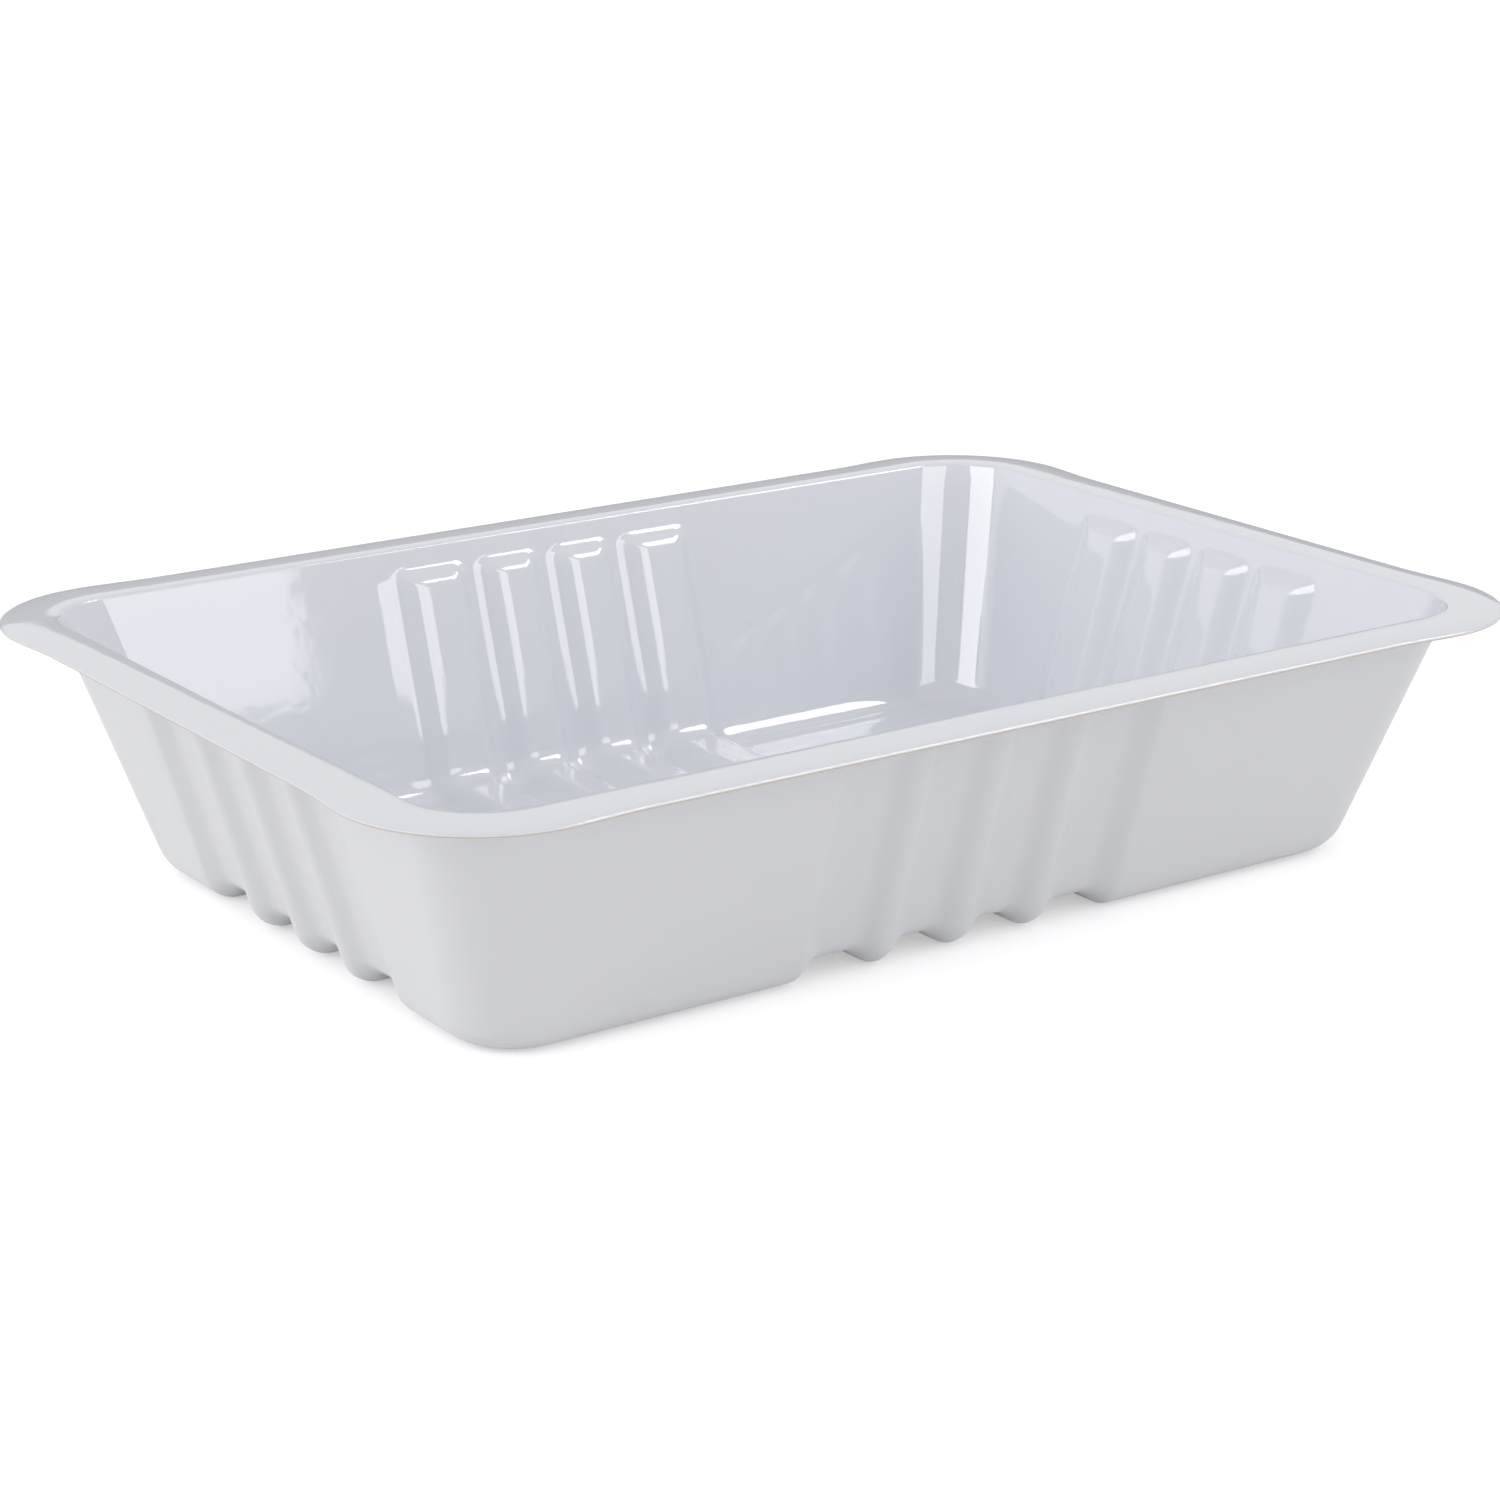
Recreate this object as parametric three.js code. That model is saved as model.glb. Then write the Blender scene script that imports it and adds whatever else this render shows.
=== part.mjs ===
// A plastic food tray, formed from one thin sheet: a flat rim, leaning walls with ribs pressed into
// them, and a floor that the ribs cross as raised ridges. Millimetres, Z up, standing on z = 0.
import * as THREE from "three";

// Overall sizes
const LENGTH = 225; // over the rim, along X
const WIDTH = 161; // over the rim, along Y
const HEIGHT = 45.4; // underside of the floor to the top of the rim
const SHEET = 0.5; // thickness of the sheet

// Rim
const RIM_WIDTH = 8.6; // from the rim's edge in to where the outside of the wall would meet its top
const RIM_RADIUS = 23; // outer corners, in plan
const RIM_BEND = 0.8; // bend between rim and wall, measured underneath
const EAR = 0.9; // how far the rim's corners swell out past its sides
const EAR_RUN = 11.5; // length of side over which the swelling grows

// Walls
const WALL_LEAN = 13.5; // how far the walls come in from the rim to the floor
const WALL_RADIUS_TOP = 13.5; // corners of the outside of the wall, in plan, at the rim
const WALL_RADIUS_FOOT = 11.5; // and at the floor
const FOOT_BEND = 6; // bend between wall and floor, measured underneath

// Ribs, the same group in the middle of each wall
const RIB_COUNT = 4;
const RIB_PITCH = 16.8; // centre to centre
const RIB_FACE_OUTER = 5.2; // flat face of the first and last rib of a group
const RIB_FACE_INNER = 3.2; // flat face of the others
const RIB_SIDE = 6.3; // run of a rib's sloping side along the wall
const RIB_DEPTH = 3.4; // how far a rib stands in from the wall
const GROOVE_ROUND = 0.55; // share of the sloping side that is rounded next to the groove
const FACE_ROUND = 0.3; // and next to the rib's face
const RIB_TOP = 4.2; // from the top of the rim down to where a rib starts
const RIB_SHOULDER = 2.2; // fall of the sloping shoulder on top of a rib
const SHOULDER_MIDDLE = 0.6; // share of the depth that the shoulder has halfway down
const RIB_RISE = 4.2; // height of the ridge that carries a rib across the floor
const RIB_BEND = 4; // bend between a rib's face and its ridge, measured underneath

// How finely the curves are divided
const CORNER_STEPS = 6;
const RIM_STEPS = 2;
const FOOT_STEPS = 3;
const LEAST_GAP = 0.4; // closest that two columns of points may stand

const QUARTER = Math.PI / 2;
const lean = Math.atan2(WALL_LEAN, HEIGHT);
const footInset = RIM_WIDTH + WALL_LEAN;

const mix = (a, b, t) => a + (b - a) * t;
const steps = (count) => Array.from({ length: count + 1 }, (_, i) => i / count);

// A section of the sheet's underside, as points of inset from the rim's edge and height. The wall
// below the rib's top is moved in by depth, and the floor is raised by rise. Where reach is given,
// a column with that share of rib is already as deep as the section.
function section(depth, rise, bend) {
  const wall = (z, shift = 0) => ({ inset: RIM_WIDTH + (HEIGHT - z) * Math.tan(lean) + shift, z });
  const underRim = HEIGHT - SHEET;
  const rimCentre = wall(underRim - RIM_BEND, -RIM_BEND / Math.cos(lean));
  const footCentre = wall(rise + bend, depth + bend / Math.cos(lean));
  const around = (centre, radius, angle) => ({
    inset: centre.inset + radius * Math.cos(angle),
    z: centre.z + radius * Math.sin(angle),
  });
  const top = HEIGHT - RIB_TOP;
  return [
    { inset: 0, z: underRim },
    ...steps(RIM_STEPS).map((t) => around(rimCentre, RIM_BEND, mix(QUARTER, lean, t))),
    wall(top),
    { ...wall(top - RIB_SHOULDER / 2, depth * SHOULDER_MIDDLE), reach: SHOULDER_MIDDLE },
    wall(top - RIB_SHOULDER, depth),
    ...steps(FOOT_STEPS).map((t) => around(footCentre, -bend, mix(lean, QUARTER, t))),
  ];
}

// The same section on the other face of the sheet: each point moves across the sheet, along the
// line that keeps both of its neighbouring stretches one thickness away.
function across(points, thickness) {
  const normals = points.slice(1).map((point, i) => {
    const run = point.inset - points[i].inset;
    const fall = points[i].z - point.z;
    const size = Math.hypot(run, fall);
    return { inset: fall / size, z: run / size };
  });
  return points.map(({ inset, z, reach }, i) => {
    const before = normals[Math.max(i - 1, 0)];
    const after = i < normals.length - 1 ? normals[i] : { inset: 0, z: 1 };
    const share = thickness / (1 + before.inset * after.inset + before.z * after.z);
    const moved = { inset: inset + share * (before.inset + after.inset), z: z + share * (before.z + after.z) };
    return { ...moved, reach };
  });
}

// Corner radius of the outline at an inset: the rim's edge has its own, the wall's goes from one
// radius to the other, and the bends at either end of the wall follow it at an even distance.
function cornerRadius(inset) {
  if (inset === 0) return RIM_RADIUS;
  if (inset < RIM_WIDTH) return WALL_RADIUS_TOP + RIM_WIDTH - inset;
  if (inset > footInset) return WALL_RADIUS_FOOT + footInset - inset;
  return mix(WALL_RADIUS_TOP, WALL_RADIUS_FOOT, (inset - RIM_WIDTH) / WALL_LEAN);
}

const ribs = Array.from({ length: RIB_COUNT }, (_, i) => ({
  at: (i - (RIB_COUNT - 1) / 2) * RIB_PITCH,
  half: (i === 0 || i === RIB_COUNT - 1 ? RIB_FACE_OUTER : RIB_FACE_INNER) / 2,
}));

// A rise from 0 to 1 that is rounded at both ends and straight in between.
function ramp(t) {
  const steepest = 1 / (1 - (GROOVE_ROUND + FACE_ROUND) / 2);
  const left = Math.max(1 - t, 0);
  if (t <= 0) return 0;
  if (t < GROOVE_ROUND) return (steepest * t * t) / (2 * GROOVE_ROUND);
  if (left < FACE_ROUND) return 1 - (steepest * left * left) / (2 * FACE_ROUND);
  return steepest * (t - GROOVE_ROUND / 2);
}

// How much of a rib there is at a place along a wall: 0 between ribs and 1 on a rib's face.
function ribShare(at) {
  const shares = ribs.map((rib) => ramp((rib.half + RIB_SIDE - Math.abs(at - rib.at)) / RIB_SIDE));
  return Math.max(...shares);
}

// How much of a ridge there is at a place on the floor: those of the long walls run right across,
// and those of the short walls end at the first one they meet.
function ridgeShare(x, y) {
  const fromShort = Math.abs(x) > ribs[ribs.length - 1].at ? ribShare(y) : 0;
  return 1 - (1 - ribShare(x)) * (1 - fromShort);
}

// Places along a wall where a rib's section changes, from end to end of the group.
function ribLines() {
  const stations = [0, FACE_ROUND, 1 - GROOVE_ROUND / 2, 1].map((t) => t * RIB_SIDE);
  const lines = ribs.flatMap((rib) =>
    stations.flatMap((out) => [rib.at - rib.half - out, rib.at + rib.half + out]),
  );
  lines.sort((a, b) => a - b);
  return lines.filter((at, i) => i === 0 || at - lines[i - 1] > LEAST_GAP);
}

// The columns of points that run from the rim's edge to the floor, in order round the tray. Each
// has the share of rib it stands on, the crossing of floor lines it ends at, and its place in plan
// for an inset.
function makeColumns(lines) {
  const last = lines.length + 1;
  const sides = [
    { out: [1, 0], half: [LENGTH / 2, WIDTH / 2], cell: (i) => [last, i] },
    { out: [0, 1], half: [WIDTH / 2, LENGTH / 2], cell: (i) => [last - i, last] },
    { out: [-1, 0], half: [LENGTH / 2, WIDTH / 2], cell: (i) => [0, last - i] },
    { out: [0, -1], half: [WIDTH / 2, LENGTH / 2], cell: (i) => [i, 0] },
  ];
  return sides.flatMap(({ out: [ox, oy], half: [outHalf, alongHalf], cell }) => {
    const place = (out, along) => [ox * out - oy * along, oy * out + ox * along];
    const straight = (at, i) => ({
      share: ribShare(at),
      cell: cell(i),
      plan: (inset) => place(outHalf - inset, at),
    });
    const earStart = (sign, i) => ({
      share: 0,
      cell: cell(i),
      plan: (inset) => {
        const arcStart = alongHalf - inset - cornerRadius(inset);
        return place(outHalf - inset, sign * Math.min(alongHalf - RIM_RADIUS - EAR_RUN, arcStart - LEAST_GAP));
      },
    });
    const corner = (angle) => ({
      share: 0,
      cell: cell(last),
      plan: (inset) => {
        const radius = cornerRadius(inset);
        const reach = inset === 0 ? radius + EAR : radius;
        return place(
          outHalf - inset - radius + reach * Math.cos(angle),
          alongHalf - inset - radius + reach * Math.sin(angle),
        );
      },
    });
    return [
      earStart(-1, 0),
      ...lines.map((at, i) => straight(at, i + 1)),
      earStart(1, last),
      ...steps(CORNER_STEPS).map((t) => corner(t * QUARTER)),
    ];
  });
}

// One face of the sheet: rings of points down the walls, then the floor's grid inside the last one.
function skin(plain, ribbed, columns, lines, floorZ, positions) {
  const add = (x, y, z) => positions.push(x, y, z) / 3 - 1;
  const rings = plain.map((point, k) =>
    columns.map(({ share, plan }) => {
      const full = Math.min(share / (point.reach ?? 1), 1);
      const [x, y] = plan(mix(point.inset, ribbed[k].inset, full));
      return add(x, y, mix(point.z, ribbed[k].z, full));
    }),
  );
  const edge = footInset + WALL_RADIUS_FOOT;
  const gridX = [edge - LENGTH / 2, ...lines, LENGTH / 2 - edge];
  const gridY = [edge - WIDTH / 2, ...lines, WIDTH / 2 - edge];
  const grid = gridX.map((x) => gridY.map((y) => add(x, y, floorZ + RIB_RISE * ridgeShare(x, y))));
  return { rings, grid };
}

function makeTray() {
  const positions = [];
  const faces = [];
  const lines = ribLines();
  const columns = makeColumns(lines);
  const plain = section(0, 0, FOOT_BEND);
  const ribbed = section(RIB_DEPTH, RIB_RISE, RIB_BEND);
  const under = skin(plain, ribbed, columns, lines, 0, positions);
  const upper = skin(across(plain, SHEET), across(ribbed, SHEET), columns, lines, SHEET, positions);

  const patch = (a, b, c, d) => (c === d ? faces.push(a, b, c) : faces.push(a, b, c, a, c, d));
  const next = (i) => (i + 1) % columns.length;
  const cover = ({ rings, grid }, face) => {
    const end = columns.map(({ cell: [i, j] }) => grid[i][j]);
    [...rings, end].slice(1).forEach((inner, k) =>
      inner.forEach((_, i) => face(rings[k][i], rings[k][next(i)], inner[next(i)], inner[i])),
    );
    for (let i = 1; i < grid.length; i++)
      for (let j = 1; j < grid[i].length; j++)
        face(grid[i - 1][j - 1], grid[i][j - 1], grid[i][j], grid[i - 1][j]);
  };
  cover(upper, patch);
  cover(under, (a, b, c, d) => (c === d ? patch(b, a, d, d) : patch(b, a, d, c)));
  const [low, high] = [under.rings[0], upper.rings[0]];
  low.forEach((_, i) => patch(low[i], low[next(i)], high[next(i)], high[i]));

  const geometry = new THREE.BufferGeometry();
  geometry.setAttribute("position", new THREE.Float32BufferAttribute(positions, 3));
  geometry.setIndex(faces);
  geometry.computeVertexNormals();
  return geometry;
}

const plastic = new THREE.MeshStandardMaterial({ color: 0xe6e8ec, roughness: 0.25, side: THREE.DoubleSide });
const tray = new THREE.Mesh(makeTray(), plastic);
tray.name = "tray";

const group = new THREE.Group();
group.add(tray);

export default group;
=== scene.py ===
import math

import bpy
import numpy as np
from mathutils import Matrix, Vector


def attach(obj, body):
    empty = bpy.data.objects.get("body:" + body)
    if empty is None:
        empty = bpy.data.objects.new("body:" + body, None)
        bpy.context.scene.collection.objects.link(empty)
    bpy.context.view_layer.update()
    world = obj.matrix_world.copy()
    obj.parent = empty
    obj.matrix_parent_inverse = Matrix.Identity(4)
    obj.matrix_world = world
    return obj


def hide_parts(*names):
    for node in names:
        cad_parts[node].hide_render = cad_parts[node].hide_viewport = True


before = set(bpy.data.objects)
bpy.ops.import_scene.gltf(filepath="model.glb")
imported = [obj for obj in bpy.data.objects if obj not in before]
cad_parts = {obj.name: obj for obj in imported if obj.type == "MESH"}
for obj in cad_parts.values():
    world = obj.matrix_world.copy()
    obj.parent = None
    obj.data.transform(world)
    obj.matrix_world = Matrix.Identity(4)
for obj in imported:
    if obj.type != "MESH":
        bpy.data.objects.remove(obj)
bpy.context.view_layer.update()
scene = bpy.context.scene
scene.view_settings.view_transform = "Standard"
print("frame loaded:", sorted(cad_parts))


# The camera stands where the photo was taken from and looks at the middle of the base.
camera = {
    "azimuth": -35.067,  # degrees, 0 looks along +Y
    "elevation": 19.014,
    "roll": -0.005,
    "distance": 0.6319,  # metres from the middle of the base
    "sensor": 36, "lens": 85.24,  # millimetres
    "shift": (-0.0042, 0.06924),
    "clip": (0.01, 50),
}


def makeCamera(c):
    az, el, roll = (math.radians(c[k]) for k in ("azimuth", "elevation", "roll"))
    back = Vector((math.sin(az) * math.cos(el), -math.cos(az) * math.cos(el), math.sin(el)))
    right = Vector((math.cos(az), math.sin(az), 0))
    up = back.cross(right)
    side = right * math.cos(roll) + up * math.sin(roll)
    top = up * math.cos(roll) - right * math.sin(roll)
    data = bpy.data.cameras.new("camera")
    data.sensor_width = c["sensor"]
    data.lens = c["lens"]
    data.shift_x, data.shift_y = c["shift"]
    data.clip_start, data.clip_end = c["clip"]
    made = bpy.data.objects.new("camera", data)
    turn = Matrix((side, top, back)).transposed()
    made.matrix_world = Matrix.Translation(back * c["distance"]) @ turn.to_4x4()
    scene.collection.objects.link(made)
    scene.camera = made


makeCamera(camera)
print("camera placed")


class Value:
    # a socket's value: sums and products of it become Math nodes
    def __init__(self, shader, socket):
        self.shader, self.socket = shader, socket

    def math(self, operation, *values):
        inputs = dict(enumerate((self, *values)))
        return self.shader.node("ShaderNodeMath", {"operation": operation}, inputs)

    def __add__(self, other):
        return self.math("ADD", other)

    def __mul__(self, other):
        return self.math("MULTIPLY", other)

    __radd__ = __add__
    __rmul__ = __mul__


class Shader:
    def __init__(self, tree):
        self.tree = tree
        tree.nodes.clear()

    def node(self, kind, settings, inputs, out=0):
        made = self.tree.nodes.new(kind)
        for name, value in settings.items():
            setattr(made, name, value)
        for name, value in inputs.items():
            socket = self.pick(made.inputs, name)
            if isinstance(value, Value):
                self.tree.links.new(value.socket, socket)
            elif socket.type == "RGBA":
                socket.default_value = (*value, 1)
            else:
                socket.default_value = value
        if made.outputs:
            return Value(self, self.pick(made.outputs, out))

    def pick(self, sockets, name):
        # a Mix node has a socket of the same name for each kind of data, and one of them is in use
        if isinstance(name, int):
            return sockets[name]
        return next(s for s in sockets if s.name == name and s.enabled)


def newMaterial(name):
    made = bpy.data.materials.new(name)
    made.use_nodes = True
    return made, Shader(made.node_tree)


# The tray is one thin sheet, worked out as rings of points that run round it.
tray = {  # millimetres
    "length": 225, "width": 161, "height": 45.4, "sheet": 0.5,
    # rim: the sag is at its edge and ends sagRun further in, the ears are the swollen corners
    "rimWidth": 8.6, "rimRadius": 23, "rimBend": 0.3, "ear": 0.9, "sag": 0.45, "sagRun": 5.5,
    "rimPlaces": (0.0, 0.5, 1.2, 2.2, 3.8, 6.2),  # insets of the rings between edge and bend
    "edgeBulge": 0.12,  # of the sheet's thickness
    "wallLean": 13.5, "radiusTop": 13.5, "radiusFoot": 11.5, "footBend": 6,
    # ribs: the outer side is the one that faces away from the other ribs, and the rounds are the
    # shares of a sloping side that are rounded next to the groove and next to the rib's face
    "ribCentres": (-24.6, -8, 8, 24.6), "ribFaces": (5.6, 3.8, 3.8, 5.6),
    "ribSide": 6.05, "outerSide": 6.0, "ribDepth": 2.3,
    "grooveRound": 0.42, "outerRound": 0.25, "faceRound": 0.42,
    # the crown is the sloping top of a rib, and the hip is the power that rounds where it meets
    # the rib's sides
    "crownTop": 3.2, "crownRun": 3.9, "crownRound": 0.42, "hip": 4,
    "ribRise": 3.1, "ribBend": 4,
    # how finely it is divided
    "crownSteps": 14, "wallSteps": 9, "rimBendPoints": 6, "footPoints": 11,
    "sideSteps": 11, "faceSteps": 3, "plainStep": 4.0, "leastStep": 0.05,
    "earSteps": 4, "cornerSteps": 24,
}
lean = math.atan2(tray["wallLean"], tray["height"])
footInset = tray["rimWidth"] + tray["wallLean"]
ribCentres = np.array(tray["ribCentres"])


def ramp(t, first, last):
    # 0 to 1: a parabola over the first share, a straight stretch, and a parabola over the last
    t = np.clip(t, 0, 1)
    steepest = 1 / (1 - (first + last) / 2)
    straight = steepest * (t - first / 2)
    rising = np.where(t < first, steepest * t**2 / (2 * first), straight)
    return np.where(1 - t < last, 1 - steepest * (1 - t) ** 2 / (2 * last), rising)


def ribShare(at):
    # the largest of the ribs' ramps, each falling from 1 on its face to 0 at the end of its side
    at = np.asarray(at)[..., None]
    isOuter = np.abs(at) > ribCentres[-1]
    side = np.where(isOuter, tray["outerSide"], tray["ribSide"])
    grooveRound = np.where(isOuter, tray["outerRound"], tray["grooveRound"])
    reach = np.array(tray["ribFaces"]) / 2 + side
    away = np.abs(at - ribCentres)
    return ramp((reach - away) / side, grooveRound, tray["faceRound"]).max(-1)


def bend(corner, before, after, radius, count):
    # arc of a radius that touches the lines from a corner to the points before and after it
    corner, before, after = (np.array(p, float) for p in (corner, before, after))
    a = (before - corner) / np.linalg.norm(before - corner)
    b = (after - corner) / np.linalg.norm(after - corner)
    half = math.acos(np.clip(a @ b, -1, 1)) / 2
    centre = corner + (a + b) / np.linalg.norm(a + b) * radius / math.sin(half)
    start = corner + a * radius / math.tan(half) - centre
    end = corner + b * radius / math.tan(half) - centre
    sweep = math.acos(np.clip(start @ end / radius**2, -1, 1))
    t = np.linspace(0, 1, count)[:, None]
    return centre + (start * np.sin((1 - t) * sweep) + end * np.sin(t * sweep)) / math.sin(sweep)


def wallPoint(z, depth=0):
    return tray["rimWidth"] + (tray["height"] - z) * math.tan(lean) + depth, z


def sections():
    # the sheet's underside as (inset, height), on a rib and between ribs, point for point, and how
    # deep the rib already is at each point
    p = tray
    under = p["height"] - p["sheet"]
    # the rim's height falls by sag x (1 - inset / run)^3 towards its edge
    flange = np.array([[x, under - p["sag"] * max(1 - x / p["sagRun"], 0) ** 3] for x in p["rimPlaces"]])
    crown = p["height"] - p["crownTop"] - p["crownRun"] * np.linspace(0, 1, p["crownSteps"])
    deep = ramp(np.linspace(0, 1, p["crownSteps"]), p["crownRound"], p["crownRound"])
    crownStart = wallPoint(crown[0])
    rim = bend(wallPoint(under), (0, under), crownStart, p["rimBend"], p["rimBendPoints"])
    t = np.linspace(0, 1, p["wallSteps"] + 1)[1:-1, None]

    def below(wall, foot):
        # the rest of a section: down the wall in even steps and round the bend at its foot
        return np.concatenate([flange, rim, wall, wall[-1] + (foot[0] - wall[-1]) * t, foot])

    def footBend(z, depth, radius):
        corner = wallPoint(z, depth)
        inward = (corner[0] + 1, z)
        return bend(corner, wallPoint(crown[-1], depth), inward, radius, p["footPoints"])

    onRib = np.stack(wallPoint(crown, p["ribDepth"] * deep), 1)
    onWall = np.stack(wallPoint(crown), 1)
    ribbed = below(onRib, footBend(p["ribRise"], p["ribDepth"], p["ribBend"]))
    plain = below(onWall, footBend(0, 0, p["footBend"]))
    depth = np.ones(len(plain))
    depth[len(flange) + len(rim) :][: len(deep)] = deep
    return plain, ribbed, depth


def across(points, thickness):
    # the sheet's other face: each point moved along the mitre of the two stretches beside it
    step = np.diff(points, axis=0)
    normal = np.stack([-step[:, 1], step[:, 0]], 1) / np.linalg.norm(step, axis=1)[:, None]
    before = np.concatenate([normal[:1], normal])
    after = np.concatenate([normal, [[0, 1]]])
    return points + thickness * (before + after) / (1 + (before * after).sum(1))[:, None]


def cornerRadius(inset):
    # plan radius at an inset: even with the wall in the bends, and changing steadily down the wall
    p = tray
    down = (inset - p["rimWidth"]) / p["wallLean"]
    wall = p["radiusTop"] + (p["radiusFoot"] - p["radiusTop"]) * down
    above = p["radiusTop"] + p["rimWidth"] - inset
    below = p["radiusFoot"] + footInset - inset
    return np.where(inset < p["rimWidth"], above, np.where(inset > footInset, below, wall))


def halves(side):
    # half the tray across one of its four sides, and half of it along that side
    length, width = tray["length"] / 2, tray["width"] / 2
    return (length, width) if side % 2 == 0 else (width, length)


def floorEnd(half):
    return half - footInset - tray["radiusFoot"]


def stations(half):
    # places along a wall, close together over the ribs and wide apart beside them
    p = tray
    lines = []
    t = np.linspace(0, 1, p["sideSteps"] + 1)[1:]
    for centre, face in zip(ribCentres, p["ribFaces"]):
        before = p["outerSide" if centre == ribCentres[0] else "ribSide"]
        after = p["outerSide" if centre == ribCentres[-1] else "ribSide"]
        middle = centre + np.linspace(-face / 2, face / 2, p["faceSteps"] + 1)
        lines += [centre - face / 2 - before * t, middle, centre + face / 2 + after * t]
    lines = np.sort(np.concatenate(lines))
    fine = lines[np.diff(lines, prepend=-half) > p["leastStep"]]
    end = floorEnd(half)
    plain = np.linspace(fine[-1], end, round((end - fine[-1]) / p["plainStep"]) + 2)[1:-1]
    return np.concatenate([-plain[::-1], fine, plain])


def ringPlan(inset, isEdge, side):
    # one side of the tray and the corner after it, for rings of insets with a row for each ring
    p = tray
    outHalf, alongHalf = halves(side)
    steps = p["earSteps"]
    at = stations(alongHalf)
    last = inset[:, -1:]
    radius = p["rimRadius"] if isEdge else cornerRadius(last)
    swell = p["ear"] if isEdge else 0
    straightOut = outHalf - inset[:, steps : steps + len(at)]
    straightAlong = np.broadcast_to(at, straightOut.shape)
    # towards the corner the edge swells out, slowly at first: swell x u^2 x (3 - 2u)
    u = np.arange(1, steps + 1)[None] / (steps + 1)
    earOut = outHalf - last + swell * u**2 * (3 - 2 * u)
    earAlong = at[-1] + (alongHalf - last - radius - at[-1]) * u
    turn = np.linspace(0, math.pi / 2, p["cornerSteps"] + 1)[None]
    cornerOut = outHalf - last - radius + (radius + swell) * np.cos(turn)
    cornerAlong = alongHalf - last - radius + (radius + swell) * np.sin(turn)
    out = np.concatenate([earOut[:, ::-1], straightOut, earOut, cornerOut], 1)
    along = np.concatenate([-earAlong[:, ::-1], straightAlong, earAlong, cornerAlong], 1)
    c, s = ((1, 0), (0, 1), (-1, 0), (0, -1))[side]
    return np.stack([c * out - s * along, s * out + c * along], -1)


# columns of points before and after those of the stations, on one side of the tray
besides = (tray["earSteps"], tray["earSteps"] + tray["cornerSteps"] + 1)


def skin(plain, ribbed, depth):
    # rings x columns x 3: each column's section is a mix of the plain and the ribbed one. Where a
    # rib's crown meets its sloping side the shallower of the two counts, and their meeting is
    # rounded: 1 - ((1 - crown)^n + (1 - side)^n)^(1/n)
    n = tray["hip"]
    crown = depth[:, None]
    first = len(tray["rimPlaces"])
    parts = []
    for side in range(4):
        share = np.pad(ribShare(stations(halves(side)[1])), besides)[None]
        hipped = 1 - ((1 - crown) ** n + (1 - share) ** n) ** (1 / n)
        weight = np.clip(hipped, 0, 1) / np.maximum(crown, 1e-6)
        mixed = plain[:, None] + (ribbed - plain)[:, None] * weight[..., None]
        inset = mixed[..., 0]
        plan = ringPlan(inset, False, side)
        edge = ringPlan(inset[:1] * 0, True, side)
        # between the rim's edge and its bend, points run straight from one outline to the other
        t = (inset[:first, -1] / plain[first, 0])[:, None, None]
        plan[:first] = edge + (plan[first] - edge) * t
        parts.append(np.concatenate([plan, mixed[..., 1:]], -1))
    return np.concatenate(parts, 1)


def floorGrid(z):
    # height = z + rise x (1 - (1 - long ribs) x (1 - short ribs)), where those of the short walls
    # stop at the outer ones of the long walls
    places = []
    for half in (tray["length"] / 2, tray["width"] / 2):
        places.append([-floorEnd(half), *stations(half), floorEnd(half)])
    x, y = np.meshgrid(*places, indexing="ij")
    fromShort = np.where(np.abs(x) > ribCentres[-1], ribShare(y), 0)
    height = z + tray["ribRise"] * (1 - (1 - ribShare(x)) * (1 - fromShort))
    return np.stack([x, y, height], -1)


def quads(a, b, c, d):
    return np.stack([a, b, c, d], -1).reshape(-1, 4)


def band(outer, inner):
    return quads(outer, np.roll(outer, -1), np.roll(inner, -1), inner)


def gridQuads(index):
    return quads(index[:-1, :-1], index[1:, :-1], index[1:, 1:], index[:-1, 1:])


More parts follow.
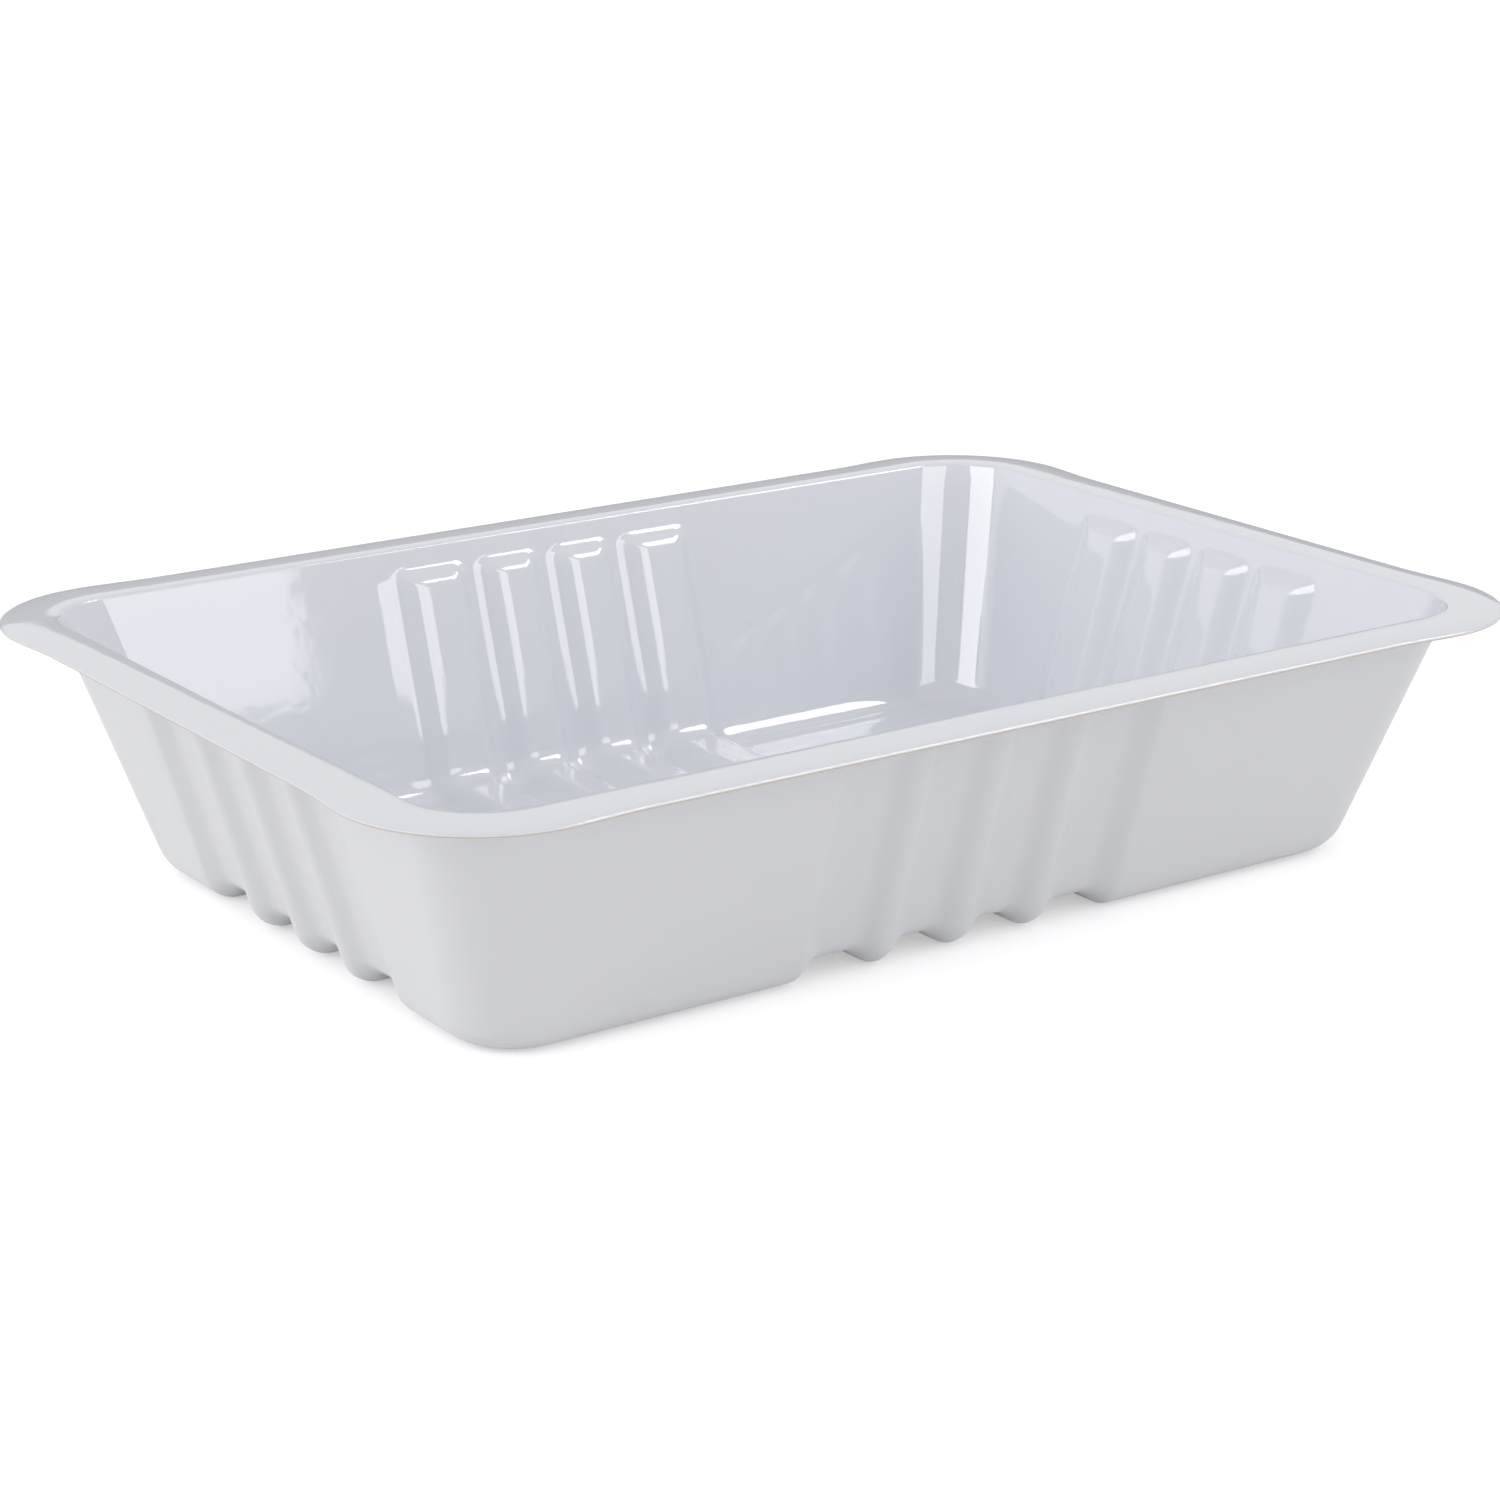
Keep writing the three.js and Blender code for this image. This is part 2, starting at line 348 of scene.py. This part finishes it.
def makeTray():
    p = tray
    plain, ribbed, depth = sections()
    under = skin(plain, ribbed, depth)
    upper = skin(across(plain, p["sheet"]), across(ribbed, p["sheet"]), depth)
    # the cut edge bulges a little between the two faces of the sheet
    edge = (under[:1] + upper[:1]) / 2
    outward = edge[..., :2] - under[2:3, :, :2]
    outward /= np.linalg.norm(outward, axis=-1, keepdims=True)
    edge[..., :2] += outward * p["sheet"] * p["edgeBulge"]
    rings = np.concatenate([under[::-1], edge, upper])
    low, high = floorGrid(0), floorGrid(p["sheet"])
    count, columns = rings.shape[:2]
    nx, ny = low.shape[:2]
    ringIndex = np.arange(count * columns).reshape(count, columns)
    lowIndex = count * columns + np.arange(nx * ny).reshape(nx, ny)
    highIndex = lowIndex + nx * ny

    # the floor point that each column ends at
    alongX, alongY = (np.pad(np.arange(1, n - 1), besides, constant_values=(0, n - 1)) for n in (nx, ny))
    xCell = np.concatenate([0 * alongY + nx - 1, nx - 1 - alongX, 0 * alongY, alongX])
    yCell = np.concatenate([alongY, 0 * alongX + ny - 1, ny - 1 - alongY, 0 * alongX])

    # slots: 0 is the inside, 1 the outside and 2 the cut edge
    slots = np.array([1] * (len(under) - 1) + [2] * 2 + [0] * (len(upper) - 1))
    groups = [(band(ringIndex[k], ringIndex[k + 1]), slot) for k, slot in enumerate(slots)]
    groups += [
        (band(ringIndex[-1], highIndex[xCell, yCell]), 0),
        (band(ringIndex[0], lowIndex[xCell, yCell])[:, ::-1], 1),
        (gridQuads(highIndex), 0),
        (gridQuads(lowIndex)[:, ::-1], 1),
    ]
    # at a corner of the floor all columns end at one point, so a face there keeps three points
    faces = [tuple(dict.fromkeys(face)) for group, _ in groups for face in group.tolist()]
    slotOfFace = np.concatenate([np.full(len(group), slot, np.int32) for group, slot in groups])
    points = np.concatenate([part.reshape(-1, 3) for part in (rings, low, high)]) / 1000
    mesh = bpy.data.meshes.new("traySheet")
    mesh.from_pydata(points.tolist(), [], faces)
    mesh.polygons.foreach_set("material_index", slotOfFace)
    mesh.polygons.foreach_set("use_smooth", np.ones(len(faces), bool))
    mesh.update()
    made = bpy.data.objects.new("traySheet", mesh)
    scene.collection.objects.link(made)
    print("tray:", len(points), "points,", len(faces), "faces")
    return made


# The plastic is glossy where the hot sheet lay free, and satin where it was pressed on the mould.
plastic = {
    "inside": (0.765, 0.785, 0.83), "insideRoughness": 0.04,
    "outside": (0.75, 0.755, 0.78), "outsideRoughness": 0.42,
    # the second edge colour is painted shade: the cut edge's bottom half, darker and warmer where it
    # faces down
    "edge": (0.8, 0.79, 0.8), "edgeShadedBelow": (0.66, 0.58, 0.53), "edgeRoughness": 0.5,
    "refraction": 1.49,
    # slow waves, ripples and grain in the surface: noise scale, and depth in metres
    "waveSize": 18.0, "waveDepth": 0.00006,
    "rippleSize": 90.0, "rippleDepth": 0.00002,
    "grainSize": 900.0, "grainDepth": 0.000004,
    # patches: noise scale, and how far tone and roughness vary either way
    "patchSize": 35.0, "patchTone": 0.015, "patchRoughness": 0.1,
}


def plasticMaterial(name, colour, roughness, wave, ripple, grain, below=None):
    made, shader = newMaterial(name)
    place = shader.node("ShaderNodeTexCoord", {}, {}, out="Object")

    def noise(size, detail, rough=0.5):
        inputs = {"Vector": place, "Scale": plastic[size], "Detail": detail, "Roughness": rough}
        return shader.node("ShaderNodeTexNoise", {}, inputs)

    def mix(factor, a, b):
        inputs = {"Factor": factor, "A": a, "B": b}
        return shader.node("ShaderNodeMix", {"data_type": "RGBA"}, inputs, out="Result")

    height = noise("waveSize", 1.5, 0.4) * wave + noise("rippleSize", 3.0, 0.6) * ripple
    height = height + noise("grainSize", 2.0) * grain
    bump = shader.node("ShaderNodeBump", {}, {"Strength": 1.0, "Distance": 1.0, "Height": height})
    patchy = noise("patchSize", 3.0)
    darker, lighter = (tuple(v * (1 + s * plastic["patchTone"]) for v in colour) for s in (-1, 1))
    tone = mix(patchy, darker, lighter)
    if below:
        # the bottom half of the cut edge is painted darker and warmer, a painted shade where the edge
        # faces down
        z = shader.node("ShaderNodeSeparateXYZ", {}, {"Vector": place}, out="Z")
        shadedHalf = z.math("LESS_THAN", (tray["height"] - tray["sheet"] / 2 - tray["sag"]) / 1000)
        tone = mix(shadedHalf, tone, below)
    vary = plastic["patchRoughness"]
    principled = shader.node("ShaderNodeBsdfPrincipled", {}, {
        "Base Color": tone, "Roughness": roughness * (1 - vary + patchy * (2 * vary)),
        "Normal": bump, "IOR": plastic["refraction"],
    })
    shader.node("ShaderNodeOutputMaterial", {}, {"Surface": principled})
    return made


def trayMaterials(p):
    wave, ripple, grain = (p[k + "Depth"] for k in ("wave", "ripple", "grain"))
    return (
        plasticMaterial("glossInside", p["inside"], p["insideRoughness"], wave, ripple, 0.0),
        plasticMaterial("satinOutside", p["outside"], p["outsideRoughness"], wave, ripple, grain),
        plasticMaterial("cutEdge", p["edge"], p["edgeRoughness"], 0.0, 0.0, grain, p["edgeShadedBelow"]),
    )


traySheet = makeTray()
for material in trayMaterials(plastic):
    traySheet.data.materials.append(material)
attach(traySheet, "root")
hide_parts("tray")
print("tray dressed")


# The studio has a white floor and surround, and soft boxes placed by direction: degrees from +Y
# towards +X, degrees up, metres away, width, height, brightness.
studio = {
    "cards": {  # these only show as reflections
        "windowRight": (172.3, 27.6, 6.0, 4.2, 2.86, 4.5),
        "windowLeft": (267, 31, 6.0, 4.2, 3.1, 6.8),
        "overhead": (118, 47, 6.0, 2.6, 1.8, 12.0),
        "paleWall": (312, 14, 6.0, 4.4, 3.6, 0.85),
    },
    "boxes": {  # these only light
        "front": (158, 15, 2.2, 2.4, 1.6, 0.85),
        "left": (290, 15, 2.2, 2.4, 1.6, 1.45),
        "key": (125, 50, 1.6, 1.0, 1.0, 0.8),
        "upper": (248, 52, 1.8, 1.2, 1.2, 0.8),
        "back": (20, 35, 2.2, 2.4, 1.4, 0.3),
    },
    "surround": 0.545,  # how much it lights, where 1 is how bright it looks
    "floor": (0.9, 0.9, 0.9), "floorRoughness": 0.9, "floorLift": 0.4, "floorReach": 3.0,
    "floorDrop": 0.0002,  # just under the tray, so that the two never coincide
}


def softBox(name, lights, azimuth, elevation, distance, width, height, brightness):
    az, el = math.radians(azimuth), math.radians(elevation)
    toward = Vector((math.sin(az) * math.cos(el), math.cos(az) * math.cos(el), math.sin(el)))
    data = bpy.data.lights.new(name, "AREA")
    data.shape, data.size, data.size_y = "RECTANGLE", width, height
    data.energy = brightness * math.pi * width * height
    made = bpy.data.objects.new(name, data)
    made.location = toward * distance
    made.visible_diffuse, made.visible_glossy = lights, not lights
    made.rotation_euler = toward.to_track_quat("Z", "Y").to_euler()
    scene.collection.objects.link(made)


def shownMask(shader):
    # 1 for rays that show a thing, seen straight on, through a surface or in a reflection
    camera, through, reflected = (
        shader.node("ShaderNodeLightPath", {}, {}, out=f"Is {kind} Ray")
        for kind in ("Camera", "Transmission", "Glossy")
    )
    return camera.math("MAXIMUM", through).math("MAXIMUM", reflected)


def makeSurround(strength):
    world = bpy.data.worlds.new("surround")
    scene.world = world
    world.use_nodes = True
    shader = Shader(world.node_tree)
    glow = strength + shownMask(shader) * (1 - strength)
    background = shader.node("ShaderNodeBackground", {}, {"Color": (1, 1, 1), "Strength": glow})
    shader.node("ShaderNodeOutputWorld", {}, {"Surface": background})


def mattePanel(name, points, materialName, colour, roughness, lift=0):
    # one flat face that stands in the studio, and glows by lift where it shows
    material, shader = newMaterial(materialName)
    inputs = {"Base Color": colour, "Roughness": roughness, "Specular IOR Level": 0.0}
    if lift:
        inputs |= {"Emission Color": (1, 1, 1), "Emission Strength": shownMask(shader) * lift}
    principled = shader.node("ShaderNodeBsdfPrincipled", {}, inputs)
    shader.node("ShaderNodeOutputMaterial", {}, {"Surface": principled})
    mesh = bpy.data.meshes.new(name)
    mesh.from_pydata(points, [], [tuple(range(len(points)))])
    mesh.materials.append(material)
    made = bpy.data.objects.new(name, mesh)
    scene.collection.objects.link(made)
    return made


for kind, lights in (("cards", False), ("boxes", True)):
    for name, values in studio[kind].items():
        softBox(name, lights, *values)
makeSurround(studio["surround"])
reach, level = studio["floorReach"], -studio["floorDrop"]
corners = [(x * reach, y * reach, level) for x, y in ((-1, -1), (1, -1), (1, 1), (-1, 1))]
mattePanel("floor", corners, "paleFloor", studio["floor"], studio["floorRoughness"], studio["floorLift"])
print("studio lit")


# A dark screen behind the tray shows only in reflections.
darkScreen = {
    "azimuth": 10, "distance": 6.0,  # degrees from +Y towards +X, metres
    "top": ((-2.8, 1.75), (2.6, 1.7), (3.2, 1.5), (6.5, 1.5)),  # places across and up, from left
    "colour": (0.46, 0.46, 0.48), "roughness": 1.0,
}


def makeScreen(p):
    az = math.radians(p["azimuth"])
    middle = Vector((math.sin(az), math.cos(az), 0)) * p["distance"]
    right = Vector((math.cos(az), -math.sin(az), 0))
    foot = [(x, 0) for x, _ in (p["top"][-1], p["top"][0])]
    outline = [middle + right * x + Vector((0, 0, z)) for x, z in (*p["top"], *foot)]
    screen = mattePanel("screen", outline, "darkScreen", p["colour"], p["roughness"])
    screen.visible_camera = screen.visible_diffuse = False
    screen.visible_transmission = screen.visible_shadow = False


makeScreen(darkScreen)
print("screen set")
